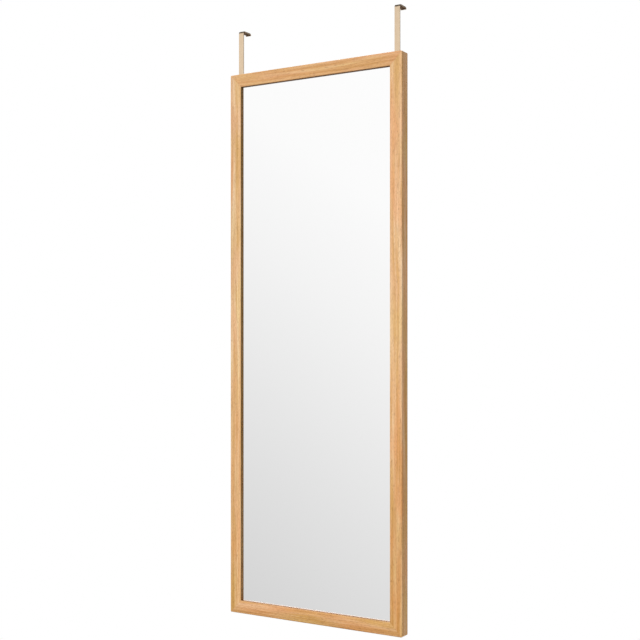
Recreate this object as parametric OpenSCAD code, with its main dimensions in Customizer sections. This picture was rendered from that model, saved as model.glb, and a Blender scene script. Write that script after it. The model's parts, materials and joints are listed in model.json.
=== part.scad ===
// Over-the-door mirror: a tall mirror in a mitred oak moulding, hung by two bent flat hooks.
// X runs to the right seen from the front, Y runs towards the door and Z runs up.
// The origin is midway between the hooks, on the door's top front edge:
// y = 0 is the door's front face and z = 0 is the top of the door.

/* [Frame] */
// Width of the frame over its outer faces
frame_w = 430; // [360:5:600]
// Height of the frame over its outer faces
frame_h = 1200; // [700:10:1600]
// Depth of the moulding from front to back
frame_d = 25; // [23:0.5:32]
// Width of the moulding's front face
face_w = 28.5; // [27:0.5:40]
// Thickness of the lip in front of the glass
lip_t = 5.5; // [3:0.5:7]
// Width of the rabbet that takes the glass
rabbet_w = 6; // [5:0.5:8]
// Width of the raised rim along the moulding's back
rim_w = 11; // [9:0.5:12]
// Radius of the frame's outer front edge
outer_edge_r = 1.8; // [0.5:0.1:2.5]
// Radius of the inner front edge, next to the glass
inner_edge_r = 0.7; // [0.3:0.1:1.5]
// Radius of the outer back edge
back_edge_r = 1; // [0.3:0.1:2]
// Radius of the frame's four corners, seen from the front
corner_r = 4; // [1:0.5:5]

/* [Mirror and back] */
// Thickness of the silvered glass
glass_t = 3; // [2:0.5:4]
// Thickness of the film on the back of the glass
film_t = 0.2; // [0.1:0.1:0.5]
// Thickness of the corrugated cardboard between the glass and the board
filler_t = 3; // [2:0.5:6]
// Thickness of the backing board
board_t = 3; // [2:0.5:4]
// Space between each edge of these sheets and the rabbet
panel_play = 0.75; // [0.3:0.05:1]

/* [Hooks] */
// Width of the hook strap
strap_w = 12.7; // [10:0.1:14]
// Thickness of the hook strap
strap_t = 2; // [1:0.1:2.5]
// Distance from the frame's side face to the middle of a strap
strap_inset = 19; // [18.8:0.1:24]
// Height of the hook's top above the frame
hook_rise = 100.5; // [40:0.5:160]
// Thickness of the door
door_t = 16; // [15:1:45]
// Play between the door and the felt on the hook's lip
door_play = 0.5; // [0.2:0.1:2]
// Inside radius of the bend over the door's front edge
front_bend_r = 3.2; // [1:0.1:4]
// Inside radius of the bend at the lip
lip_bend_r = 1.8; // [1:0.1:2]
// Depth of the lip below the hook's top face
lip_drop = 5; // [5:0.5:30]
// Length of strap behind the frame
leg_len = 46; // [46:1:70]
// Radius of the strap's lower corners
leg_corner_r = 2; // [0.5:0.5:4]
// Side play of the strap in its notch
notch_play = 0.2; // [0.1:0.1:0.5]
// Thickness of the felt inside the hook
pad_t = 1; // [0.5:0.1:1.5]
// Distance the felt stays back from the strap's sides
pad_inset = 0.4; // [0.1:0.1:2]

/* [Screws] */
// Radius of all screw shanks
shank_r = 1.5; // [1:0.1:1.75]
// Length of a hook screw, head included
hook_screw_l = 10; // [8:1:14]
// Radius of a countersunk head
csk_r = 2.9; // [2.5:0.1:3.2]
// Height of a countersunk head
csk_h = 1.4; // [1:0.1:1.8]
// Distance from the frame's top to the upper hook screws
upper_screw_at = 9; // [6:0.5:10]
// Distance from the frame's top to the lower hook screws
lower_screw_at = 36; // [32:0.5:40]
// Shank length of a turn button screw, below its head
button_screw_l = 10; // [8:1:14]
// Radius of a pan head
pan_r = 2.8; // [2.4:0.1:3.2]
// Height of a pan head
pan_h = 1.5; // [1:0.1:1.6]
// Depth of the cross recess in a screw head
recess_d = 0.9; // [0.5:0.1:1]
// Length of the cross recess
recess_l = 3; // [2:0.1:3.4]
// Width of the cross recess
recess_w = 0.7; // [0.4:0.1:1]
// Length of a screw's point
point_l = 3; // [1:0.5:4]
// Radius of the blunt end of a screw's point
tip_r = 0.1; // [0.05:0.05:0.3]
// Play round a screw in the wood and in the strap
screw_play = 0.05; // [0.02:0.01:0.1]

/* [Turn buttons] */
// Width of a turn button
button_w = 9; // [7:0.5:10]
// Thickness of a turn button
button_t = 1; // [0.6:0.1:1.2]
// Length of a turn button that lies over the rabbet and the board
button_lap = 10; // [7:0.5:14]
// Distance from the frame's end to the upper and lower side buttons
button_end = 160; // [90:5:220]
// Radial play of a turn button on its screw
pivot_play = 0.08; // [0.05:0.01:0.1]
// Gap between a turn button and the face below it, and below the head
button_gap = 0.2; // [0.1:0.05:0.3]

/* [Corner nails] */
// Length of each wing of a corner nail
nail_leg = 5; // [3:0.5:6]
// Thickness of a corner nail
nail_t = 0.6; // [0.4:0.1:0.8]
// Height of a corner nail
nail_h = 7; // [5:0.5:9]
// Depth of a nail's top below the wood's surface
nail_sink = 0.5; // [0.2:0.1:1]
// Play between a nail and its slot
nail_play = 0.03; // [0.01:0.01:0.05]

/* [Bumpers] */
// Radius of a felt bumper
bumper_r = 5; // [3:0.5:5]
// Thickness of a felt bumper
bumper_t = 2; // [1:0.5:4]
// Distance from the frame's outer faces to a bumper
bumper_edge = 2; // [1:0.5:2.5]

/* [Hidden] */
$fn = 64;
// How far a cutter runs past the face that it opens
over = 1;
// Smallest radius inside a fold of the felt
least_fold_r = 0.1;

// Heights: the felt's underside rests on the door at z = 0
plate_under = pad_t;
plate_top = plate_under + strap_t;
frame_top = plate_top - hook_rise;
frame_bottom = frame_top - frame_h;
frame_middle = (frame_top + frame_bottom) / 2;

// Depths: the front of the frame is at y = -frame_d
front_y = -frame_d;
glass_y = front_y + lip_t;
film_y = glass_y + glass_t;
filler_y = film_y + film_t;
board_y = filler_y + filler_t;
land_y = board_y + board_t;

// Widths across the moulding, counted from its outer face
land_end = face_w - rabbet_w;
land_middle = (rim_w + land_end) / 2;

// Sheets that lie in the rabbet
panel_inset = land_end + panel_play;
panel_w = frame_w - 2 * panel_inset;
panel_h = frame_h - 2 * panel_inset;

// Hook section, in Y and Z
strap_back = land_y + strap_t;
lip_in = door_t + door_play + pad_t;
front_centre_z = plate_under - front_bend_r;
lip_centre_z = plate_under - lip_bend_r;
lip_bottom = plate_top - lip_drop;

// Corner nails, counted from the frame's outer faces to the nail's corner
rim_nail_at = (rim_w + nail_leg) / 2;
land_nail_at = (rim_w + land_end + nail_leg) / 2;

// Turn buttons
button_y = land_y + button_gap;
head_y = button_y + button_t + button_gap;
button_reach = land_end - land_middle + button_lap;
side_button_rise = frame_h / 2 - button_end;
side_pivot_x = frame_w / 2 - land_middle;
end_pivot_z = frame_h / 2 - land_middle;

bumper_at = bumper_edge + bumper_r;

oak = [0.86, 0.68, 0.46];
oak_rail = [0.83, 0.65, 0.43];
champagne = [0.87, 0.78, 0.65];
zinc = [0.74, 0.76, 0.78];
steel = [0.55, 0.56, 0.58];
felt = [0.29, 0.2, 0.14];
silvered = [0.93, 0.95, 0.96];
film_blue = [0.55, 0.62, 0.66];
cardboard = [0.72, 0.58, 0.42];
hardboard = [0.55, 0.4, 0.27];

// ---- Shared shapes ----

// What a rounding of radius r takes off a corner at the origin
module edge_waste(r) {
    difference() {
        translate([-over, -over]) square(r + over);
        translate([r, r]) circle(r);
    }
}

// Quarter of a bent strip, bulging to -X and +Y round the origin
module bend_quarter(inner_r, outer_r) {
    difference() {
        intersection() {
            circle(outer_r);
            translate([-outer_r, 0]) square(outer_r);
        }
        circle(inner_r);
    }
}

// Stands a shape on its edge: its X stays, its Y becomes Z, and its thickness runs towards the door
module facing_door(y, thickness) {
    translate([0, y + thickness, 0]) rotate([90, 0, 0]) linear_extrude(height = thickness) children();
}

// Turns a screw that points down so that it points away from the door
module driven(x, y, z) {
    translate([x, y, z]) rotate([-90, 0, 0]) children();
}

// The same thing on the left and on the right
module both_sides() {
    children();
    mirror([1, 0, 0]) children();
}

// The same thing at the top and at the bottom of the frame
module both_ends() {
    children();
    translate([0, 0, 2 * frame_middle]) mirror([0, 0, 1]) children();
}

// Cross recess, opening upwards from z = 0
module cross_recess() {
    for (turn = [0, 90])
        rotate([0, 0, turn]) translate([-recess_l / 2, -recess_w / 2, -recess_d])
            cube([recess_l, recess_w, recess_d + over]);
}

// Half section of a screw from the widest part of its point down to its tip at z = -length
function point_section(length, play) = [
    [shank_r + play, point_l - length - play],
    [tip_r + play, -length - play],
    [0, -length - play]
];

// Shank and point of a screw that reaches down from z = 0
module screw_shank(length, play) {
    top = [[0, 0], [shank_r + play, 0]];
    rotate_extrude() polygon(concat(top, point_section(length, play)));
}

// Countersunk screw with its flat top at z = 0, or the hole for it where there is play
module countersunk_screw(play) {
    open = play > 0 ? [[0, over], [csk_r + play, over]] : [[0, 0]];
    head = concat(open, [[csk_r + play, 0], [shank_r + play, -csk_h]]);
    difference() {
        rotate_extrude() polygon(concat(head, point_section(hook_screw_l, play)));
        if (play == 0) cross_recess();
    }
}

// Pan head screw with its head standing on z = 0
module pan_screw() {
    rim_h = pan_h / 2;
    dome = [[0, pan_h], [pan_r - rim_h, pan_h], [pan_r, rim_h]];
    head = concat(dome, [[pan_r, 0], [shank_r, 0]]);
    difference() {
        rotate_extrude() polygon(concat(head, point_section(button_screw_l, 0)));
        translate([0, 0, pan_h]) cross_recess();
    }
}

// ---- Frame ----

// Section of the moulding: X from its outer face inwards, Y from its front to its back
module moulding_section() {
    difference() {
        translate([0, front_y]) square([face_w, frame_d]);
        translate([land_end, glass_y]) square([face_w, frame_d]);
        translate([rim_w, land_y]) square([face_w, frame_d]);
        translate([0, front_y]) edge_waste(outer_edge_r);
        translate([face_w, front_y]) mirror([1, 0]) edge_waste(inner_edge_r);
        mirror([0, 1]) edge_waste(back_edge_r);
    }
}

// Front outline of a member that stands on its outer face, mitred at both ends
module mitred_outline(length) {
    difference() {
        polygon([[0, 0], [face_w, face_w], [face_w, length - face_w], [0, length]]);
        edge_waste(corner_r);
        translate([0, length]) mirror([0, 1]) edge_waste(corner_r);
    }
}

// Member along Z, with its outer face at x = 0 and its lower mitre at z = 0
module member(length) {
    intersection() {
        linear_extrude(height = length) moulding_section();
        facing_door(front_y, frame_d) mitred_outline(length);
    }
}

// Left upright, before its neighbours' screws and nails are cut out of it
module plain_stile() {
    translate([-frame_w / 2, 0, frame_bottom]) member(frame_h);
}

// Top member, before its neighbours' screws and nails are cut out of it
module plain_rail() {
    translate([-frame_w / 2, 0, frame_top]) rotate([0, 90, 0]) member(frame_w);
}

module cut_stile() {
    difference() {
        plain_stile();
        all_nails(nail_play);
        hook_screw_at(-1, lower_screw_at, screw_play);
        side_button_screws(screw_play);
    }
}

module stile_left() {
    color(oak) cut_stile();
}

module stile_right() {
    color(oak) mirror([1, 0, 0]) cut_stile();
}

module rail_top() {
    color(oak_rail) difference() {
        plain_rail();
        all_nails(nail_play);
        both_sides() strap_notch();
        both_sides() hook_screw_at(-1, upper_screw_at, screw_play);
        end_button_screw(screw_play);
    }
}

module rail_bottom() {
    color(oak_rail) translate([0, 0, 2 * frame_middle]) mirror([0, 0, 1]) difference() {
        plain_rail();
        all_nails(nail_play);
        end_button_screw(screw_play);
    }
}

// Opening through the top rail's rim that lets the left strap lie on the land
module strap_notch() {
    notch_w = strap_w + 2 * notch_play;
    translate([-frame_w / 2 + strap_inset - notch_w / 2, land_y, frame_top - rim_w - over])
        cube([notch_w, -land_y + over, rim_w + 2 * over]);
}

// ---- Corner nails ----

// One V-nail across the upper left mitre, with its corner at distance at from both outer faces
module nail(at, surface_y, play) {
    wing = nail_leg + 2 * play;
    web = nail_t + 2 * play;
    corner = at + play;
    open = play > 0 ? nail_sink + over : 0;
    translate([-frame_w / 2, 0, frame_top]) mirror([0, 0, 1])
        facing_door(surface_y - nail_sink - nail_h - play, nail_h + play + open) union() {
            translate([corner - wing, corner - web]) square([wing, web]);
            translate([corner - web, corner - wing]) square([web, wing]);
        }
}

// Two nails in each mitre: one in the rim and one in the land
module all_nails(play) {
    both_sides() both_ends() {
        nail(rim_nail_at, 0, play);
        nail(land_nail_at, land_y, play);
    }
}

module corner_nails() {
    color(steel) all_nails(0);
}

// ---- Mirror and back ----

// Sheet of the rabbet's size, with its front face at depth y
module panel(y, thickness) {
    translate([-panel_w / 2, y, frame_bottom + panel_inset]) cube([panel_w, thickness, panel_h]);
}

module mirror_glass() {
    color(silvered) panel(glass_y, glass_t);
}

module safety_film() {
    color(film_blue) panel(film_y, film_t);
}

module filler_sheet() {
    color(cardboard) panel(filler_y, filler_t);
}

module backing_board() {
    color(hardboard) panel(board_y, board_t);
}

// ---- Hooks ----

// Section of a hook: X is the depth towards the door, Y is the height
module hook_section() {
    plate_start = strap_back + front_bend_r;
    plate_end = lip_in - lip_bend_r;
    leg_foot = frame_top - leg_len;
    translate([land_y, leg_foot]) square([strap_t, front_centre_z - leg_foot]);
    translate([plate_start, front_centre_z]) bend_quarter(front_bend_r, front_bend_r + strap_t);
    translate([plate_start, plate_under]) square([plate_end - plate_start, strap_t]);
    translate([plate_end, lip_centre_z]) mirror([1, 0]) bend_quarter(lip_bend_r, lip_bend_r + strap_t);
    translate([lip_in, lip_bottom]) square([strap_t, lip_centre_z - lip_bottom]);
}

// What rounds the strap's lower left corner
module leg_corner_waste() {
    translate([-strap_w / 2, 0, frame_top - leg_len])
        facing_door(land_y - over, strap_t + 2 * over) edge_waste(leg_corner_r);
}

module hook_right() {
    color(champagne) difference() {
        translate([frame_w / 2 - strap_inset, 0, 0]) difference() {
            translate([-strap_w / 2, 0, 0]) rotate([90, 0, 90])
                linear_extrude(height = strap_w) hook_section();
            both_sides() leg_corner_waste();
        }
        hook_screw_at(1, upper_screw_at, screw_play);
        hook_screw_at(1, lower_screw_at, screw_play);
    }
}

module hook_left() {
    mirror([1, 0, 0]) hook_right();
}

// Section of the felt strip: along the flat of the hook, round its rear bend and down its lip
module felt_section() {
    plate_start = strap_back + front_bend_r;
    plate_end = lip_in - lip_bend_r;
    translate([plate_start, plate_under - pad_t]) square([plate_end - plate_start, pad_t]);
    translate([plate_end, lip_centre_z]) mirror([1, 0])
        bend_quarter(max(lip_bend_r - pad_t, least_fold_r), lip_bend_r);
    translate([lip_in - pad_t, lip_bottom]) square([pad_t, lip_centre_z - lip_bottom]);
}

module hook_pad_right() {
    pad_w = strap_w - 2 * pad_inset;
    color(felt) translate([frame_w / 2 - strap_inset - pad_w / 2, 0, 0]) rotate([90, 0, 90])
        linear_extrude(height = pad_w) felt_section();
}

module hook_pad_left() {
    mirror([1, 0, 0]) hook_pad_right();
}

// Hook screw on the left (side = -1) or right (side = 1), at distance below the frame's top
module hook_screw_at(side, below, play) {
    driven(side * (frame_w / 2 - strap_inset), strap_back, frame_top - below) countersunk_screw(play);
}

module hook_screws() {
    color(champagne) for (side = [-1, 1], below = [upper_screw_at, lower_screw_at])
        hook_screw_at(side, below, 0);
}

// ---- Turn buttons ----

// Turn button that pivots on the origin and reaches to +X
module turn_button() {
    color(zinc) facing_door(button_y, button_t) difference() {
        union() {
            circle(button_w / 2);
            translate([0, -button_w / 2]) square([button_reach - button_w / 2, button_w]);
            translate([button_reach - button_w / 2, 0]) circle(button_w / 2);
        }
        circle(shank_r + pivot_play);
    }
}

// Turn button on the left stile, at height rise above the frame's middle
module left_button(rise) {
    translate([-side_pivot_x, 0, frame_middle + rise]) turn_button();
}

module right_button(rise) {
    mirror([1, 0, 0]) left_button(rise);
}

module turn_button_left_upper() {
    left_button(side_button_rise);
}

module turn_button_left_middle() {
    left_button(0);
}

module turn_button_left_lower() {
    left_button(-side_button_rise);
}

module turn_button_right_upper() {
    right_button(side_button_rise);
}

module turn_button_right_middle() {
    right_button(0);
}

module turn_button_right_lower() {
    right_button(-side_button_rise);
}

module turn_button_top() {
    translate([0, 0, frame_middle + end_pivot_z]) rotate([0, 90, 0]) turn_button();
}

module turn_button_bottom() {
    translate([0, 0, frame_middle - end_pivot_z]) rotate([0, -90, 0]) turn_button();
}

// Hole that a turn button's screw leaves in the wood, or the screw itself with no play
module button_screw_at(x, z, play) {
    if (play > 0) driven(x, head_y, z) screw_shank(button_screw_l, play);
    else driven(x, head_y, z) pan_screw();
}

// The three screws of the left stile
module side_button_screws(play) {
    for (rise = [-side_button_rise, 0, side_button_rise])
        button_screw_at(-side_pivot_x, frame_middle + rise, play);
}

// The top rail's screw
module end_button_screw(play) {
    button_screw_at(0, frame_middle + end_pivot_z, play);
}

module turn_button_screws() {
    color(zinc) {
        both_sides() side_button_screws(0);
        both_ends() end_button_screw(0);
    }
}

// ---- Bumpers ----

module bumper_right() {
    color(felt) translate([frame_w / 2 - bumper_at, 0, frame_bottom + bumper_at])
        rotate([-90, 0, 0]) cylinder(h = bumper_t, r = bumper_r);
}

module bumper_left() {
    mirror([1, 0, 0]) bumper_right();
}

stile_left();
stile_right();
rail_top();
rail_bottom();
corner_nails();
mirror_glass();
safety_film();
filler_sheet();
backing_board();
hook_left();
hook_right();
hook_pad_left();
hook_pad_right();
hook_screws();
turn_button_left_upper();
turn_button_left_middle();
turn_button_left_lower();
turn_button_right_upper();
turn_button_right_middle();
turn_button_right_lower();
turn_button_top();
turn_button_bottom();
turn_button_screws();
bumper_left();
bumper_right();
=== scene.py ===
"""Looks of an over-the-door mirror: a mitred oak moulding round silvered glass, on two steel hooks.

Lengths are in metres in the CAD model's frame: X to the right seen from the front, Y towards the
door and Z up. The origin is on the door's top front edge, midway between the hooks.
"""

import json
import logging
import math
from abc import ABC, abstractmethod
from collections.abc import Callable, Mapping, Sequence
from dataclasses import asdict, dataclass, field
from enum import Enum
from functools import partial
from typing import Any

import bmesh
import bpy
from bmesh.types import BMesh, BMVert
from bpy.types import Material, Node, NodeSocket, NodeTree, Object, World
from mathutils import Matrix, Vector

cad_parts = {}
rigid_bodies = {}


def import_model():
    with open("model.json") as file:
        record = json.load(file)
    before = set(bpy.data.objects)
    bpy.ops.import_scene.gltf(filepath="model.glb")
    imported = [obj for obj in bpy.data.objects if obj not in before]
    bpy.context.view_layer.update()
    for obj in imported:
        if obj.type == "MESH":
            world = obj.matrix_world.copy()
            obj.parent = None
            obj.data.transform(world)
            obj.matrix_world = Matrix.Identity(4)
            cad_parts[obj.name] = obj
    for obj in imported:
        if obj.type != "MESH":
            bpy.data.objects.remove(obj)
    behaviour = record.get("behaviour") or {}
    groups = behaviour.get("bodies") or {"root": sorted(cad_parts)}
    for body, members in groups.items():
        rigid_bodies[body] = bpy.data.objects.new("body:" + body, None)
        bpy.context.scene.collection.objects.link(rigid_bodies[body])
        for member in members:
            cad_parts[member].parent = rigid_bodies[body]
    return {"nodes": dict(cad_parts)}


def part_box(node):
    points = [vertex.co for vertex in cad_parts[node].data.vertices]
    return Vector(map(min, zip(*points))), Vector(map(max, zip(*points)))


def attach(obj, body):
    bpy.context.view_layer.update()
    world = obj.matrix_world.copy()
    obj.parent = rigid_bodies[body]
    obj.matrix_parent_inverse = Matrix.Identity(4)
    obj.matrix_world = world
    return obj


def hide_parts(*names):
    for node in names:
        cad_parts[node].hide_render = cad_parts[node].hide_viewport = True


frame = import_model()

log = logging.getLogger("door_mirror")

MM = 0.001
BODY = "framed_mirror"

# Main sizes of the frame, as the CAD model has them
FRAME_WIDTH = 430 * MM
FRAME_HEIGHT = 1200 * MM
FRAME_TOP = -97.5 * MM
FRAME_MIDDLE = FRAME_TOP - FRAME_HEIGHT / 2
FACE_WIDTH = 28.5 * MM
LAND_Y = -10.3 * MM
STRAP_BACK_Y = -8.3 * MM
HOOK_X = 196 * MM
FRONT_BEND = 3.2 * MM
LIP_BEND = 1.8 * MM
LIP_INSIDE_Y = 17.5 * MM
LIP_FOOT_Z = -2 * MM
BUTTON_PLAY = 0.2 * MM

# Edges bent more than the first angle are rounded; what is left past the second stays sharp
EDGE_STEPS = 3
ROUNDED_ANGLE = math.radians(40)
SHARP_ANGLE = math.radians(50)

# Blender's names of the nodes that are used most
MATH = "ShaderNodeMath"
VECTOR_MATH = "ShaderNodeVectorMath"
COMBINE = "ShaderNodeCombineXYZ"
SEPARATE = "ShaderNodeSeparateXYZ"
MAP_RANGE = "ShaderNodeMapRange"
RAMP = "ShaderNodeValToRGB"
MIX = "ShaderNodeMix"
BUMP = "ShaderNodeBump"

Colour = tuple[float, float, float, float]
Point = tuple[float, float, float]
Pair = tuple[float, float]
Stops = tuple[tuple[float, str], ...]
Marks = tuple[Any, ...]
Inputs = Mapping[str | int, Any]
Add = Callable[..., Node]


# ---- Helpers ----


def linear(hex_code: str) -> Colour:
    """Turns an sRGB hex colour into linear light.

    Args:
        hex_code: The colour as six hex digits after a hash sign.

    Returns:
        Red, green, blue and an alpha of 1.
    """
    channels = (int(hex_code[i : i + 2], 16) / 255 for i in (1, 3, 5))
    red, green, blue = (c / 12.92 if c <= 0.04045 else ((c + 0.055) / 1.055) ** 2.4 for c in channels)
    return red, green, blue, 1.0


def add_node(tree: NodeTree, kind: str, inputs: Inputs | Sequence[Any] = (), **settings: Any) -> Node:
    """Adds a node to a tree.

    Args:
        tree: The tree that takes the node.
        kind: Blender's name of the node's type.
        inputs: What each input takes, in their order or by name or number: its constant, a socket, a
            node whose first output in use is meant, or a list of these.
        settings: The node's own properties.

    Returns:
        The new node.
    """
    node = tree.nodes.new(kind)
    for name, value in settings.items():
        setattr(node, name, value)
    for key, given in inputs.items() if isinstance(inputs, Mapping) else enumerate(inputs):
        for value in given if isinstance(given, list) else [given]:
            if isinstance(value, Node):
                value = next(socket for socket in value.outputs if socket.enabled)
            if isinstance(value, NodeSocket):
                tree.links.new(value, node.inputs[key])
            else:
                node.inputs[key].default_value = value
    return node


def blank_tree(owner: Material | World) -> NodeTree:
    """Empties a node tree.

    Args:
        owner: The material or world that holds it.

    Returns:
        The tree without nodes.
    """
    owner.use_nodes = True
    owner.node_tree.nodes.clear()
    return owner.node_tree


def set_stops(ramp: Node, stops: Stops) -> Node:
    """Gives a colour ramp its stops.

    Args:
        ramp: The Color Ramp node.
        stops: Position and sRGB hex colour of each stop, in rising order.

    Returns:
        The same node.
    """
    elements = ramp.color_ramp.elements
    while len(elements) < len(stops):
        elements.new(1.0)
    for element, (position, hex_code) in zip(elements, stops, strict=True):
        element.position = position
        element.color = linear(hex_code)
    return ramp


def streaks(
    add: Add, place: NodeSocket | Node, size: Point, detail: float = 2.0, roughness: float = 0.5
) -> Node:
    """Adds a noise whose marks have a given real size.

    Args:
        add: Adds a node to the material.
        place: Coordinates in metres.
        size: Size of one mark along each axis, in millimetres.
        detail: Number of finer layers.
        roughness: Strength of the finer layers.

    Returns:
        The noise, with values around 0.5.
    """
    stretch = tuple(1 / (s * MM) for s in size)
    marks = add(VECTOR_MATH, (place, stretch), operation="MULTIPLY")
    settings = {"Scale": 1.0, "Detail": detail, "Roughness": roughness}
    return add("ShaderNodeTexNoise", {"Vector": marks, **settings})


def ring(middle: Point, radius: float, sides: int) -> list[Point]:
    """Lists the points of a circle across the Y axis.

    Args:
        middle: Its middle.
        radius: Its radius.
        sides: Number of points.

    Returns:
        The points.
    """
    x, y, z = middle
    turns = (2 * math.pi * i / sides for i in range(sides))
    return [(x + radius * math.cos(t), y, z + radius * math.sin(t)) for t in turns]


def loft(shape: BMesh, rows: Sequence[Sequence[Point]]) -> list[list[BMVert]]:
    """Builds a closed body over rows of points.

    Args:
        shape: The bmesh that takes it.
        rows: Rings with the same number of points. The first and the last are its caps.

    Returns:
        The vertices of each row.
    """
    loops = [[shape.verts.new(point) for point in row] for row in rows]
    for low, high in zip(loops, loops[1:]):
        for i in range(len(low)):
            j = (i + 1) % len(low)
            shape.faces.new((low[i], low[j], high[j], high[i]))
    shape.faces.new(loops[0])
    shape.faces.new(list(reversed(loops[-1])))
    return loops


def object_from(name: str, shape: BMesh) -> Object:
    """Turns a bmesh into an object at the origin, with its normals outwards.

    Args:
        name: Name of the object.
        shape: The bmesh, which is freed.

    Returns:
        The object.
    """
    bmesh.ops.recalc_face_normals(shape, faces=shape.faces)
    mesh = bpy.data.meshes.new(name)
    shape.to_mesh(mesh)
    shape.free()
    obj = bpy.data.objects.new(name, mesh)
    bpy.context.scene.collection.objects.link(obj)
    return obj


def freeze(obj: Object) -> Object:
    """Turns what an object's modifiers make of it into its plain mesh.

    Args:
        obj: The object, which loses its modifiers.

    Returns:
        The same object.
    """
    graph = bpy.context.evaluated_depsgraph_get()
    mesh = bpy.data.meshes.new_from_object(
        obj.evaluated_get(graph), preserve_all_data_layers=True, depsgraph=graph
    )
    obj.modifiers.clear()
    obj.data = mesh
    return obj


def cut_and_soften(obj: Object, cutter: Object, edge: float) -> None:
    """Cuts the holes of a sheet-metal piece, rounds its edges and leaves a plain mesh.

    Args:
        obj: The piece.
        cutter: What is cut away. It is removed afterwards.
        edge: Radius of the rounding.
    """
    hole = obj.modifiers.new("Holes", "BOOLEAN")
    hole.object, hole.operation, hole.solver = cutter, "DIFFERENCE", "EXACT"
    round_edge = obj.modifiers.new("Edges", "BEVEL")
    round_edge.width, round_edge.segments = edge, EDGE_STEPS
    round_edge.limit_method, round_edge.angle_limit = "ANGLE", ROUNDED_ANGLE
    round_edge.use_clamp_overlap = True
    freeze(obj)
    obj.data.shade_smooth()
    obj.data.set_sharp_from_angle(angle=SHARP_ANGLE)
    obj.modifiers.new("Normals", "WEIGHTED_NORMAL").keep_sharp = True
    freeze(obj)
    bpy.data.objects.remove(cutter)


def fit(piece: Object, body: str, node: str, slot: str) -> None:
    """Puts a finished piece on its body, in the place of its CAD node.

    Args:
        piece: The piece.
        body: The body that it moves with.
        node: The CAD node that it replaces.
        slot: The record's name of its material.
    """
    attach(piece, body)
    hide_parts(node)
    log.info("%s: %d faces, %s", piece.name, len(piece.data.polygons), slot)


# ---- Finishes ----


@dataclass(frozen=True)
class Finish(ABC):
    """A real material and the way its surface was made."""

    name: str

    def build(self) -> Material:
        """Makes the Blender material.

        Returns:
            The material.
        """
        material = bpy.data.materials.new(self.name)
        add = partial(add_node, blank_tree(material))
        place = add("ShaderNodeTexCoord").outputs["Object"]
        shader = add("ShaderNodeBsdfPrincipled", self.surface(add, place))
        add("ShaderNodeOutputMaterial", {"Surface": shader})
        return material

    def dress(self, node: str) -> None:
        """Gives a CAD node this finish.

        Args:
            node: Name of the node.
        """
        piece = frame["nodes"][node]
        material = self.build()
        if not piece.material_slots:
            piece.data.materials.append(material)
        for slot in piece.material_slots:
            slot.material = material
        log.info("%s: %s", node, self.name)

    @abstractmethod
    def surface(self, add: Add, place: NodeSocket) -> Inputs:
        """Adds the finish's nodes.

        Args:
            add: Adds a node to the material.
            place: Object coordinates, in metres.

        Returns:
            What each input of the Principled shader takes.
        """


class Grain(Enum):
    """How a member's grain runs, as the turn that brings it upright."""

    UPRIGHT = 0.0
    LEVEL = math.pi / 2


@dataclass(frozen=True)
class Board:
    """The piece of oak that a member was cut from.

    Its tones are what the wood's colour is multiplied by. Over the board they differ because no two
    boards match. At an upright's foot, which shows less on its side, a drift in tone together with
    painted sheen, brighter towards the top, makes it darker and more orange. On the inner wall and
    along the outer rim they are painted shade. Its inner edge light is painted light and shade where
    the eased inner edge turns: a lit cream on the bottom rail's ledge, darker on the other members.
    """

    grain: Grain
    cut_from: Point
    tone: str = "#FFFFFF"
    # Tone at an upright's foot: a drift in tone, with painted sheen that fades downwards
    foot_tone_and_sheen: str = "#FFFFFF"
    # Painted shade on the inner wall of the rabbet
    wall_painted_shade: str = "#FFFFFF"
    # Painted light and shade on the eased inner edge
    rubbed: str = "#B98B58"
    # Painted shade along the outer rim, where the rounded edge turns from the light
    rim_painted_shade: str = "#FFFFFF"


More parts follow.
